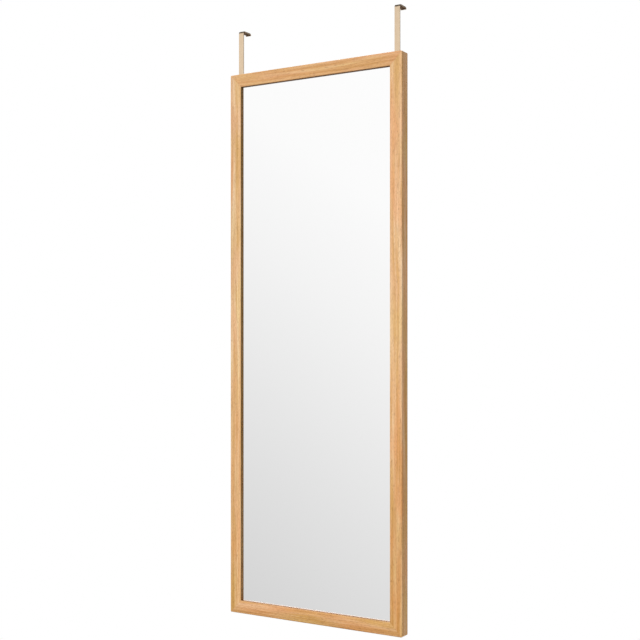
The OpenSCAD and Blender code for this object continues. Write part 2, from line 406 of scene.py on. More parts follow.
@dataclass(frozen=True)
class LacqueredOak(Finish):
    """Rift-sawn white oak, planed and sealed with a matt clear lacquer.

    It shows nearly straight, slightly wandering stripes along the member, short dark pores, a slow
    change of tone from pinkish to straw, and a soft sheen with no sharp reflection.
    """

    board: Board
    sway: float = 14 * MM
    ring_pitch: float = 2.4 * MM
    to_pith: Point = (0.31, 0.12, 0.0)
    # Heights between which the foot's drift in tone and painted loss of sheen come in
    sheen_fade_between: Pair = (-0.72, -1.28)
    tones: Stops = (
        (0.28, "#CE9D5B"),
        (0.40, "#E1B277"),
        (0.50, "#E8BB8B"),
        (0.60, "#F1CCA0"),
        (0.74, "#FADFB8"),
    )

    def surface(self, add: Add, place: NodeSocket) -> Inputs:
        """Adds the oak's nodes.

        Args:
            add: Adds a node to the material.
            place: Object coordinates.

        Returns:
            The shader's inputs.
        """
        board = self.board
        upright = (0.0, board.grain.value, 0.0)
        in_log = add("ShaderNodeMapping", {"Vector": place, "Location": board.cut_from, "Rotation": upright})
        # The grain wanders a few millimetres over the length of a hand
        wander = streaks(add, in_log, (60, 60, 300), detail=1.0)
        wander = add(MATH, (wander, 0.5), operation="SUBTRACT")
        wander = add(MATH, (wander, self.sway), operation="MULTIPLY")
        shift = add(COMBINE, (wander, wander))
        wood = add(VECTOR_MATH, (in_log, shift), operation="ADD")

        # Bands of a few growth rings, which are what shows at arm's length
        bands = streaks(add, wood, (7, 9, 260), detail=3.0, roughness=0.6)
        colour = set_stops(add(RAMP, (bands,)), self.tones)
        early = self.rings(add, wood)
        ring_share = add(MATH, (early, 0.20), operation="MULTIPLY")

        # Fibres about 1 mm wide, drawn twice as coarse as the real ones
        fibres = streaks(add, wood, (1.1, 1.1, 48), detail=3.0, roughness=0.65)
        fibre_stops = ((0.25, "#D9CFC4"), (0.5, "#F4F1EE"), (0.75, "#FFFFFF"))
        fibre_tone = set_stops(add(RAMP, (fibres,)), fibre_stops)

        # Slow change from pinkish to straw-coloured wood
        patches = streaks(add, wood, (30, 30, 130), detail=1.0)
        patch_stops = ((0.35, "#FFF0E6"), (0.5, "#FDFAF6"), (0.65, "#F7F6DF"))
        patch_tone = set_stops(add(RAMP, (patches,)), patch_stops)

        # Pores: real vessels are 0.3 mm wide, drawn 0.5 mm wide so that they show, most of them in
        # the early part of each ring
        vessels = streaks(add, wood, (0.5, 0.5, 7), detail=0.0)
        vessels = add(MATH, (early, 0.12, vessels), operation="MULTIPLY_ADD")
        pores = add(MAP_RANGE, (vessels, 0.66, 0.76), interpolation_type="SMOOTHSTEP")
        pore_share = add(MATH, (pores, 0.55), operation="MULTIPLY")

        # Ray flecks: short satiny marks across the grain
        rays = streaks(add, wood, (2.6, 2.6, 5), detail=0.0)
        flecks = add(MAP_RANGE, (rays, 0.70, 0.80, 0.0, 0.16), interpolation_type="SMOOTHSTEP")

        # An upright is darker and more orange towards the frame's foot: a drift in the wood's tone
        # together with painted sheen, which is brighter towards the top
        joint, inner_edge_light_share, wall, rim, face = self.edges(add, place)
        height = add(SEPARATE, (place,)).outputs["Z"]
        start, end = self.sheen_fade_between
        foot_sheen_fade = add(MAP_RANGE, (height, start, end), interpolation_type="SMOOTHSTEP")
        foot_sheen_fade = add(MATH, (foot_sheen_fade, face), operation="MULTIPLY")
        tint = add(MIX, {0: foot_sheen_fade, 6: linear(board.tone), 7: linear(board.foot_tone_and_sheen)}, data_type="RGBA")

        for share, tone, blend in (
            (ring_share, linear("#B98049"), "MIX"),
            (0.85, fibre_tone, "MULTIPLY"),
            (1.0, patch_tone, "MULTIPLY"),
            (pore_share, linear("#8A5A30"), "MIX"),
            (flecks, linear("#F3D6AE"), "MIX"),
            (1.0, tint, "MULTIPLY"),
            # Painted shade along the outer rim
            (rim, linear(board.rim_painted_shade), "MULTIPLY"),
            # Painted light and shade on the inner edge
            (inner_edge_light_share, linear(board.rubbed), "MIX"),
            # Painted shade on the inner wall
            (wall, linear(board.wall_painted_shade), "MULTIPLY"),
            (joint, linear("#6E4522"), "MIX"),
        ):
            colour = add(MIX, {0: share, 6: colour, 7: tone}, data_type="RGBA", blend_type=blend)

        depth = add(MATH, (fibres, 0.35, pores), operation="MULTIPLY_ADD")
        depth = add(MATH, (depth, joint), operation="ADD")
        relief = add(BUMP, {"Height": depth, "Strength": 0.35, "Distance": 0.06 * MM}, invert=True)
        sheen = add(MAP_RANGE, (fibres, 0.3, 0.7, 0.58, 0.48))
        return {"Base Color": colour, "Roughness": sheen, "Normal": relief, "Specular IOR Level": 0.28}

    def rings(self, add: Add, wood: Node) -> Node:
        """Adds the single growth rings, round a pith that lies outside the board.

        Args:
            add: Adds a node to the material.
            wood: Place in the log, in metres.

        Returns:
            How much of a ring's early wood shows at a point.
        """
        from_pith = add(VECTOR_MATH, (wood, self.to_pith), operation="ADD")
        level = add(VECTOR_MATH, (from_pith, (1.0, 1.0, 0.0)), operation="MULTIPLY")
        radius = add(VECTOR_MATH, (level,), operation="LENGTH")
        count = add(MATH, (radius, 1 / self.ring_pitch), operation="MULTIPLY")
        uneven = streaks(add, wood, (9, 9, 180), detail=1.0)
        count = add(MATH, (uneven, 2.2, count), operation="MULTIPLY_ADD")
        within = add(MATH, (count,), operation="FRACT")
        return add(MAP_RANGE, (within, 0.0, 0.55, 1.0, 0.0), interpolation_type="SMOOTHSTEP")

    def edges(self, add: Add, place: NodeSocket) -> list[Node]:
        """Adds what depends on the distance from the frame's outline and from the mitre.

        Args:
            add: Adds a node to the material.
            place: Object coordinates, in metres.

        Returns:
            How much of the mitre's dark line, the painted light and shade on the inner edge, the painted
            shade on the inner wall and along the outer rim, and the face shows at a point.
        """
        half_size = (FRAME_WIDTH / 2, 0.0, FRAME_HEIGHT / 2)
        centred = add(VECTOR_MATH, (place, (0.0, 0.0, -FRAME_MIDDLE)), operation="ADD")
        side = add(VECTOR_MATH, (centred,), operation="ABSOLUTE")
        from_outside = add(VECTOR_MATH, (half_size, side), operation="SUBTRACT")
        across = add(SEPARATE, (from_outside,)).outputs
        gap = add(MATH, (across["X"], across["Z"]), operation="SUBTRACT")
        gap = add(MATH, (gap,), operation="ABSOLUTE")
        nearest = add(MATH, (across["X"], across["Z"]), operation="MINIMUM")
        # Each row: distance, where it starts and ends, and the shares that show there
        rows = (
            (gap, 0.1 * MM, 0.5 * MM, 0.16, 0.0, "SMOOTHSTEP"),
            # Inner edge: painted light and shade
            (nearest, FACE_WIDTH - 2.4 * MM, FACE_WIDTH, 0.0, 0.35, "SMOOTHSTEP"),
            # Inner wall: painted shade
            (nearest, FACE_WIDTH - 0.4 * MM, FACE_WIDTH - 0.1 * MM, 0.0, 1.0, "LINEAR"),
            # Outer rim: painted shade, strongest at the edge
            (nearest, 3 * MM, 24 * MM, 1.0, 0.0, "LINEAR"),
            # Face: how much of the foot's painted sheen shows, only half of it on the outer side
            (nearest, 0.2 * MM, 1.6 * MM, 0.5, 1.0, "LINEAR"),
        )
        return [add(MAP_RANGE, values, interpolation_type=way) for *values, way in rows]


@dataclass(frozen=True)
class MarkedFinish(Finish):
    """A finish whose tone, gloss and relief each follow noise marks or stay constant.

    Marks are the size, detail and roughness that streaks() takes. The gloss is the shader's
    roughness at weak and at strong marks. The relief is its strength and depth.
    """

    tones: Stops
    gloss: tuple[float, ...]
    metallic: float = 0.0
    tone_marks: Marks = ()
    gloss_marks: Marks = ()
    relief_marks: Marks = ()
    relief: Pair = (0.0, 0.0)

    def surface(self, add: Add, place: NodeSocket) -> Inputs:
        """Adds the marks and what follows them.

        Args:
            add: Adds a node to the material.
            place: Object coordinates.

        Returns:
            The shader's inputs.
        """
        colour, roughness = linear(self.tones[0][1]), self.gloss[0]
        inputs = {"Base Color": colour, "Metallic": self.metallic, "Roughness": roughness}
        if self.tone_marks:
            marks = streaks(add, place, *self.tone_marks)
            inputs["Base Color"] = set_stops(add(RAMP, (marks,)), self.tones)
        if self.gloss_marks:
            marks = streaks(add, place, *self.gloss_marks)
            inputs["Roughness"] = add(MAP_RANGE, (marks, 0.3, 0.7, *self.gloss))
        if self.relief_marks:
            marks = streaks(add, place, *self.relief_marks)
            strength, depth = self.relief
            inputs["Normal"] = add(BUMP, {"Height": marks, "Strength": strength, "Distance": depth})
        return inputs


@dataclass(frozen=True)
class SilveredGlass(MarkedFinish):
    """Float glass silvered on its back: a flat, colourless, fully sharp mirror.

    Float glass is flat to a few hundredths of a millimetre over a hand's length.
    """

    name: str = "silvered_float_glass"
    tones: Stops = ((0.0, "#FDFDFD"),)
    gloss: tuple[float, ...] = (0.015,)
    metallic: float = 1.0
    relief_marks: Marks = ((300, 300, 220), 0.0)
    relief: Pair = (0.02, 0.02 * MM)


@dataclass(frozen=True)
class LacqueredSteel(MarkedFinish):
    """Cold-rolled strip steel under a satin champagne lacquer.

    It shows a warm pale metal with slightly uneven gloss and fine rolling lines along the strap,
    0.4 mm apart and as long as a finger.
    """

    name: str = "satin_lacquered_strip_steel"
    tones: Stops = ((0.0, "#E2C7A7"), (1.0, "#EED7B9"))
    gloss: tuple[float, ...] = (0.17, 0.26)
    metallic: float = 1.0
    tone_marks: Marks = ((9, 9, 14),)
    gloss_marks: Marks = ((0.4, 40, 60),)
    relief_marks: Marks = ((0.4, 40, 60),)
    relief: Pair = (0.15, 0.02 * MM)


@dataclass(frozen=True)
class ZincPlate(MarkedFinish):
    """Stamped steel with bright zinc plating.

    It is bluish grey and cloudy, with faint yellow and blue casts and fine scratches.
    """

    name: str = "bright_zinc_plate"
    tones: Stops = ((0.3, "#B9C0C9"), (0.5, "#CDD0D2"), (0.7, "#D3CDBB"))
    gloss: tuple[float, ...] = (0.24, 0.40)
    metallic: float = 1.0
    tone_marks: Marks = ((3, 3, 3), 3.0)
    gloss_marks: Marks = ((3, 3, 3), 3.0)
    relief_marks: Marks = ((0.25, 0.25, 5), 1.0)
    relief: Pair = (0.12, 0.02 * MM)


@dataclass(frozen=True)
class ShearedSteel(MarkedFinish):
    """Uncoated spring steel cut from strip: dull grey with darker streaks."""

    name: str = "sheared_spring_steel"
    tones: Stops = ((0.3, "#6F6E6C"), (0.7, "#A5A6A8"))
    gloss: tuple[float, ...] = (0.45,)
    metallic: float = 1.0
    tone_marks: Marks = ((0.6, 3, 0.6),)


@dataclass(frozen=True)
class NeedleFelt(MarkedFinish):
    """Dark brown needle felt: matt, with tufts about 1 mm across and a soft edge of light."""

    name: str = "needle_felt"
    tones: Stops = ((0.3, "#735D48"), (0.55, "#9E8266"), (0.75, "#BFA183"))
    gloss: tuple[float, ...] = (0.95,)
    tone_marks: Marks = ((0.9, 0.9, 0.9), 4.0, 0.7)
    relief_marks: Marks = ((0.9, 0.9, 0.9), 4.0, 0.7)
    relief: Pair = (0.6, 0.2 * MM)

    def surface(self, add: Add, place: NodeSocket) -> Inputs:
        """Adds the tufts, and the light on the outermost fibres."""
        return {**super().surface(add, place), "Sheen Weight": 0.3, "Sheen Roughness": 0.5}


@dataclass(frozen=True)
class PressedHardboard(Finish):
    """Wet-pressed hardboard: a smooth brown face with flattened fibre bundles and cloudy tone."""

    name: str = "pressed_hardboard"

    def surface(self, add: Add, place: NodeSocket) -> Inputs:
        """Adds the hardboard's nodes.

        Args:
            add: Adds a node to the material.
            place: Object coordinates.

        Returns:
            The shader's inputs.
        """
        cloud = streaks(add, place, (70, 70, 90), detail=3.0, roughness=0.6)
        tone = set_stops(add(RAMP, (cloud,)), ((0.3, "#8C6640"), (0.5, "#946C45"), (0.7, "#9B734A")))
        # Fibre bundles, half a millimetre wide and 3 mm long, lie every way in the face
        lean = add("ShaderNodeMapping", {"Vector": place, "Rotation": (0.0, 0.9, 0.0)})
        one_way = streaks(add, lean, (0.5, 2, 3))
        other = streaks(add, place, (2.4, 2, 0.6))
        bundles = add(MATH, (one_way, other), operation="MULTIPLY")
        bundle_stops = ((0.12, "#CBB69F"), (0.25, "#F1EAE2"), (0.40, "#FFFFFF"))
        bundle_tone = set_stops(add(RAMP, (bundles,)), bundle_stops)
        colour = add(MIX, {0: 0.9, 6: tone, 7: bundle_tone}, data_type="RGBA", blend_type="MULTIPLY")
        relief = add(BUMP, {"Height": bundles, "Strength": 0.3, "Distance": 0.08 * MM})
        return {"Base Color": colour, "Roughness": 0.6, "Normal": relief, "IOR": 1.45}


@dataclass(frozen=True)
class CorrugatedCardboard(MarkedFinish):
    """Corrugated cardboard between kraft liners: brown paper with its flutes showing faintly through."""

    name: str = "kraft_corrugated_cardboard"
    tones: Stops = ((0.3, "#A98558"), (0.7, "#C9A679"))
    gloss: tuple[float, ...] = (0.9,)
    tone_marks: Marks = ((2, 2, 3), 4.0, 0.7)
    relief: Pair = (0.3, 0.2 * MM)
    flute_pitch: float = 6.5 * MM

    def surface(self, add: Add, place: NodeSocket) -> Inputs:
        """Adds the paper and its upright flutes.

        Args:
            add: Adds a node to the material.
            place: Object coordinates.

        Returns:
            The shader's inputs.
        """
        # The wave repeats pi / 10 apart at a scale of 1
        scale = math.pi / 10 / self.flute_pitch
        wave = add("ShaderNodeTexWave", {"Vector": place, "Scale": scale, "Distortion": 0.0})
        strength, depth = self.relief
        relief = add(BUMP, {"Height": wave.outputs["Fac"], "Strength": strength, "Distance": depth})
        return {**super().surface(add, place), "Normal": relief}


@dataclass(frozen=True)
class SafetyFilm(Finish):
    """Woven polyethylene film glued to the back of the glass: grey-blue with a fine weave."""

    name: str = "woven_safety_film"
    tape_width: float = 2 * MM

    def surface(self, add: Add, place: NodeSocket) -> Inputs:
        """Adds the film's nodes.

        Args:
            add: Adds a node to the material.
            place: Object coordinates.

        Returns:
            The shader's inputs.
        """
        weave = add("ShaderNodeTexChecker", {"Vector": place, "Scale": 1 / self.tape_width})
        tapes = {0: weave.outputs["Fac"], 6: linear("#8C9CA6"), 7: linear("#9AAAB3")}
        tone = add(MIX, tapes, data_type="RGBA")
        return {"Base Color": tone, "Roughness": 0.4, "IOR": 1.5}


# Finishes that mirror what is round them
SHINY = {finish.name for finish in (SilveredGlass, LacqueredSteel, ZincPlate, ShearedSteel)}


# ---- Repeated pieces, as Geometry Nodes ----


class PieceTree(ABC):
    """Geometry Nodes that make a piece, with named inputs for its sizes, seed and material."""

    name: str
    inputs: Mapping[str, str]

    def __init__(self) -> None:
        """Builds the tree."""
        self.tree = bpy.data.node_groups.new(self.name, "GeometryNodeTree")
        face = self.tree.interface
        for way in ("INPUT", "OUTPUT"):
            face.new_socket(name="Geometry", in_out=way, socket_type="NodeSocketGeometry")
        self.keys = {
            name: face.new_socket(name=name, in_out="INPUT", socket_type=f"NodeSocket{kind}").identifier
            for name, kind in self.inputs.items()
        }
        add = self.add = partial(add_node, self.tree)
        given = add("NodeGroupInput").outputs
        real = add("GeometryNodeRealizeInstances", (self.fill(given),))
        dressed = add("GeometryNodeSetMaterial", {"Geometry": real, "Material": given["Material"]})
        add("NodeGroupOutput", (dressed,))

    @abstractmethod
    def fill(self, given: Mapping[str, NodeSocket]) -> Node:
        """Adds the nodes that make the shape.

        Args:
            given: The tree's inputs.

        Returns:
            The node that gives the finished shape.
        """

    def run(self, piece: Object, values: Mapping[str, Any]) -> Object:
        """Runs the tree on an object.

        Args:
            piece: The object that holds the tree's geometry input.
            values: What each of its other inputs takes.

        Returns:
            The piece with a plain mesh.
        """
        nodes = piece.modifiers.new(self.name, "NODES")
        nodes.node_group = self.tree
        for name, value in values.items():
            nodes[self.keys[name]] = value
        return freeze(piece)


@dataclass(frozen=True)
class ScrewForm:
    """Sizes of a cross-head screw, with heights counted from the seat of its head."""

    head_radius: float
    head_top: float
    rim_top: float
    rim_foot: float
    neck: float
    shank_radius: float = 1.5 * MM
    length: float = 10 * MM
    point: float = 3 * MM
    recess_length: float = 3.1 * MM
    recess_width: float = 0.75 * MM
    recess_depth: float = 0.9 * MM

    def labelled(self) -> dict[str, float]:
        """Lists the sizes under the names of the tree's inputs, such as Head radius."""
        return {name.replace("_", " ").capitalize(): size for name, size in asdict(self).items()}


PAN_HEAD = ScrewForm(2.8 * MM, 1.5 * MM, 0.55 * MM, 0.0, 0.0)
FLAT_HEAD = ScrewForm(2.85 * MM, 0.0, -0.03 * MM, -0.2 * MM, -1.4 * MM)


class ScrewTree(PieceTree):
    """Turns a screw on a lathe and sets one at every vertex of a mesh."""

    name = "Screws"
    inputs = {**dict.fromkeys(PAN_HEAD.labelled(), "Float"), "Seed": "Int", "Material": "Material"}
    lathe_radius = 0.1 * MM
    sides = 28
    dome_steps = 6
    shoulder_share = 0.72
    weld_gap = 0.004 * MM
    soft_angle = math.radians(35)

    def profile_point(self, radius: NodeSocket | Node | float, height: NodeSocket | Node | float) -> Node:
        """Adds a point of the turned profile.

        Args:
            radius: Distance from the screw's axis.
            height: Height above the seat.

        Returns:
            The point as the lathe's sweep needs it.
        """
        out = self.add(MATH, (radius, self.lathe_radius), operation="SUBTRACT")
        down = self.add(MATH, (height, -1.0), operation="MULTIPLY")
        return self.add(COMBINE, (out, down))

    def fill(self, given: Mapping[str, NodeSocket]) -> Node:
        """Adds the profile, the lathe, the cross recess and one screw on each point.

        Args:
            given: The tree's inputs.

        Returns:
            The node that gives the screws.
        """
        add = self.add
        shoulder = add(MATH, (given["Head radius"], self.shoulder_share), operation="MULTIPLY")
        tip = add(MATH, (given["Length"], -1.0), operation="MULTIPLY")
        taper = add(MATH, (tip, given["Point"]), operation="ADD")
        profile = add(
            "GeometryNodeCurveQuadraticBezier",
            {
                "Resolution": self.dome_steps,
                "Start": self.profile_point(0.0, given["Head top"]),
                "Middle": self.profile_point(shoulder, given["Head top"]),
                "End": self.profile_point(given["Head radius"], given["Rim top"]),
            },
        )
        corners = (
            (given["Head radius"], given["Rim top"]),
            (given["Head radius"], given["Rim foot"]),
            (given["Shank radius"], given["Neck"]),
            (given["Shank radius"], taper),
            (0.0, tip),
        )
        points = [self.profile_point(*corner) for corner in corners]
        for start, end in zip(points, points[1:]):
            line = add("GeometryNodeCurvePrimitiveLine", {"Start": start, "End": end})
            profile = add("GeometryNodeJoinGeometry", ([line, profile],))
        circle = add(
            "GeometryNodeCurvePrimitiveCircle", {"Resolution": self.sides, "Radius": self.lathe_radius}
        )
        turned = add("GeometryNodeCurveToMesh", {"Curve": circle, "Profile Curve": profile})
        screw = add("GeometryNodeMergeByDistance", {"Geometry": turned, "Distance": self.weld_gap})
        blade = add(COMBINE, [given[f"Recess {way}"] for way in ("length", "width", "depth")])
        bar = add("GeometryNodeMeshCube", {"Size": blade})
        lift = add(COMBINE, {"Z": given["Head top"]})
        for turn in (0.0, math.pi / 2):
            placed = add(
                "GeometryNodeTransform",
                {"Geometry": bar, "Translation": lift, "Rotation": (0.0, 0.0, turn)},
            )
            screw = add(
                "GeometryNodeMeshBoolean",
                {"Mesh 1": screw, "Mesh 2": placed},
                operation="DIFFERENCE",
                solver="EXACT",
            )
        bend = add("GeometryNodeInputMeshEdgeAngle").outputs["Unsigned Angle"]
        soft = add("FunctionNodeCompare", (bend, self.soft_angle), operation="LESS_THAN")
        screw = add("GeometryNodeSetShadeSmooth", {"Geometry": screw}, domain="FACE")
        screw = add("GeometryNodeSetShadeSmooth", {"Geometry": screw, "Shade Smooth": soft}, domain="EDGE")
        # The screws are driven from the door's side, each stopped at its own turn
        spin = add("FunctionNodeRandomValue", {2: 0.0, 3: math.pi / 2, "Seed": given["Seed"]})
        facing = add(COMBINE, (-math.pi / 2, spin))
        return add(
            "GeometryNodeInstanceOnPoints",
            {"Points": given["Geometry"], "Instance": screw, "Rotation": facing},
        )

    def drive(
        self, name: str, seats: Sequence[Point], form: ScrewForm, material: Material, seed: int
    ) -> Object:
        """Makes one object with a screw at each seat.

        Args:
            name: Name of the piece.
            seats: Where the heads sit.
            form: The screws' sizes.
            material: Their material.
            seed: Seed of the turn at which each screw stops.

        Returns:
            The piece with a plain mesh.
        """
        points = bmesh.new()
        for seat in seats:
            points.verts.new(seat)
        values = {**form.labelled(), "Seed": seed, "Material": material}
        return self.run(object_from(name, points), values)


class FibreTree(PieceTree):
    """Covers a felt piece with short, leaning fibres."""

    name = "Felt fibres"
    inputs = {
        "Per square metre": "Float",
        "Fibre length": "Float",
        "Fibre radius": "Float",
        "Seed": "Int",
        "Material": "Material",
    }
    sides = 3
    bend_steps = 3
    rise_share = 0.45
    shortest_share = 0.4

    def fill(self, given: Mapping[str, NodeSocket]) -> Node:
        """Adds points on the felt, a bent fibre on each, and the felt itself.

        Args:
            given: The tree's inputs.

        Returns:
            The node that gives the felt with its fibres.
        """
        add = self.add
        roots = add(
            "GeometryNodeDistributePointsOnFaces",
            {"Mesh": given["Geometry"], "Density": given["Per square metre"], "Seed": given["Seed"]},
        ).outputs
        rise = add(MATH, (given["Fibre length"], self.rise_share), operation="MULTIPLY")
        tip = add(COMBINE, {"X": given["Fibre length"], "Z": rise})
        knee = add(COMBINE, {"X": rise, "Z": rise})
        bent = add(
            "GeometryNodeCurveQuadraticBezier",
            {"Resolution": self.bend_steps, "Start": (0.0, 0.0, 0.0), "Middle": knee, "End": tip},
        )
        section = add(
            "GeometryNodeCurvePrimitiveCircle", {"Resolution": self.sides, "Radius": given["Fibre radius"]}
        )
        fibre = add("GeometryNodeCurveToMesh", {"Curve": bent, "Profile Curve": section, "Fill Caps": True})
        spin = add("FunctionNodeRandomValue", {2: 0.0, 3: 2 * math.pi, "Seed": given["Seed"]})
        turn = add(COMBINE, {"Z": spin})
        facing = add("FunctionNodeRotateRotation", (roots["Rotation"], turn), rotation_space="LOCAL")
        share = add("FunctionNodeRandomValue", {2: self.shortest_share, 3: 1.0, "Seed": given["Seed"]})
        planted = add(
            "GeometryNodeInstanceOnPoints",
            {"Points": roots["Points"], "Instance": fibre, "Rotation": facing, "Scale": share},
        )
        return add("GeometryNodeJoinGeometry", {0: [given["Geometry"], planted]})


# ---- Sub-assemblies ----


@dataclass(frozen=True)
class Moulding:
    """The four mitred oak members and the nails across their mitres."""

    # Foot, wall and rim tones below are painted sheen and shade; the bottom rail's inner edge colour is a
    # painted highlight
    boards: Mapping[str, Board] = field(
        default_factory=lambda: {
            "stile_left": Board(
                Grain.UPRIGHT,
                (0.91, 0.13, 0.42),
                foot_tone_and_sheen="#F3EFE2",
                wall_painted_shade="#F8F7E9",
                rim_painted_shade="#F2F4F4",
            ),
            "stile_right": Board(Grain.UPRIGHT, (0.27, 0.31, 1.65), foot_tone_and_sheen="#E6DBC0"),
            "rail_top": Board(Grain.LEVEL, (1.38, 0.22, 0.75), tone="#F2E4CF", wall_painted_shade="#B7A584"),
            "rail_bottom": Board(
                Grain.LEVEL,
                (0.66, 0.47, 2.38),
                tone="#F9F8FC",
                foot_tone_and_sheen="#F9F8FC",
                wall_painted_shade="#CBB5A0",
                rubbed="#E2BC90",
                rim_painted_shade="#DDD5B8",
            ),
        }
    )

    def dress(self) -> None:
        """Gives each member oak from its own board, and the nails their steel."""
        for node, board in self.boards.items():
            LacqueredOak(f"lacquered_oak_{node}", board).dress(node)
        ShearedSteel().dress("corner_nails")


@dataclass(frozen=True)
class MirrorPack:
    """What lies in the rabbet: glass, film, cardboard and board."""

    sheets: Mapping[str, Finish] = field(
        default_factory=lambda: {
            "mirror_glass": SilveredGlass(),
            "safety_film": SafetyFilm(),
            "filler_sheet": CorrugatedCardboard(),
            "backing_board": PressedHardboard(),
        }
    )

    def dress(self) -> None:
        """Gives each sheet its finish."""
        for node, finish in self.sheets.items():
            finish.dress(node)


@dataclass(frozen=True)
class DoorHooks:
    """Two straps of flat steel, bent to go over the door and screwed to the frame."""

    width: float = 12.7 * MM
    thickness: float = 2 * MM
    plate_under: float = 1.0 * MM
    leg_foot: float = FRAME_TOP - 46 * MM
    corner_radius: float = 2 * MM
    corner_steps: int = 8
    edge_radius: float = 0.28 * MM
    bend_steps: int = 14
    screws_below_top: Pair = (9 * MM, 36 * MM)
    hole_radius: float = 1.58 * MM
    hole_sides: int = 40
    sink_depth: float = 1.42 * MM
    # The cutter's cone goes a little past the strap's back, where it is this wide
    cone_past: float = 0.3 * MM
    cone_radius: float = 3.22 * MM
    drill_past: float = 0.5 * MM
    seed: int = 4

    def stations(self) -> list[tuple[Pair, Pair]]:
        """Lists the section's stations from the leg's foot to the lip's foot.

        Returns:
            Y and Z of the outer face, and of the inner face, at each station.
        """
        leg = (self.leg_foot, FRAME_TOP, FRAME_TOP / 2, -2 * FRONT_BEND)
        rows = [((LAND_Y, z), (STRAP_BACK_Y, z)) for z in leg]
        front = (STRAP_BACK_Y + FRONT_BEND, FRONT_BEND, math.pi)
        lip = (LIP_INSIDE_Y - LIP_BEND, LIP_BEND, math.pi / 2)
        for centre, inner, first in (front, lip):
            for step in range(self.bend_steps + 1):
                turn = first - step / self.bend_steps * math.pi / 2
                rows.append(
                    tuple(
                        (centre + radius * math.cos(turn), self.plate_under - inner + radius * math.sin(turn))
                        for radius in (inner + self.thickness, inner)
                    )
                )
        rows.append(((LIP_INSIDE_Y + self.thickness, LIP_FOOT_Z), (LIP_INSIDE_Y, LIP_FOOT_Z)))
        return rows

    def strap(self, name: str, x: float) -> Object:
        """Builds one bent strap with square edges and a rounded foot.

        Args:
            name: Name of the piece.
            x: Where the strap's middle lies.

        Returns:
            The strap.
        """
        left, right = x - self.width / 2, x + self.width / 2
        shape = bmesh.new()
        rows = [
            ((left, *outer), (right, *outer), (right, *inner), (left, *inner))
            for outer, inner in self.stations()
        ]
        foot = loft(shape, rows)[0]
        ends = ({foot[0], foot[3]}, {foot[1], foot[2]})
        corners = [edge for edge in shape.edges if set(edge.verts) in ends]
        rounding = {"offset": self.corner_radius, "segments": self.corner_steps, "profile": 0.5}
        bmesh.ops.bevel(shape, geom=corners, affect="EDGES", **rounding)
        return object_from(name, shape)

    def countersinks(self, x: float) -> Object:
        """Builds the cones that cut a strap's two countersunk holes.

        Args:
            x: Where the strap's middle lies.

        Returns:
            The cutter.
        """
        levels = (
            (STRAP_BACK_Y + self.cone_past, self.cone_radius),
            (STRAP_BACK_Y - self.sink_depth, self.hole_radius),
            (LAND_Y - self.drill_past, self.hole_radius),
        )
        shape = bmesh.new()
        for below in self.screws_below_top:
            loft(shape, [ring((x, y, FRAME_TOP - below), radius, self.hole_sides) for y, radius in levels])
        return object_from("countersinks", shape)

    def build(self, screws: ScrewTree) -> None:
        """Builds both hooks and their screws.

        Args:
            screws: The tree that makes the screws.
        """
        steel = LacqueredSteel().build()
        seats = []
        for node, x in (("hook_left", -HOOK_X), ("hook_right", HOOK_X)):
            strap = self.strap(f"bent_strap_{node}", x)
            strap.data.materials.append(steel)
            cut_and_soften(strap, self.countersinks(x), self.edge_radius)
            fit(strap, BODY, node, "champagne_steel")
            seats += [(x, STRAP_BACK_Y, FRAME_TOP - below) for below in self.screws_below_top]
        heads = screws.drive("hook_screw_set", seats, FLAT_HEAD, steel, self.seed)
        fit(heads, BODY, "hook_screws", "champagne_steel")


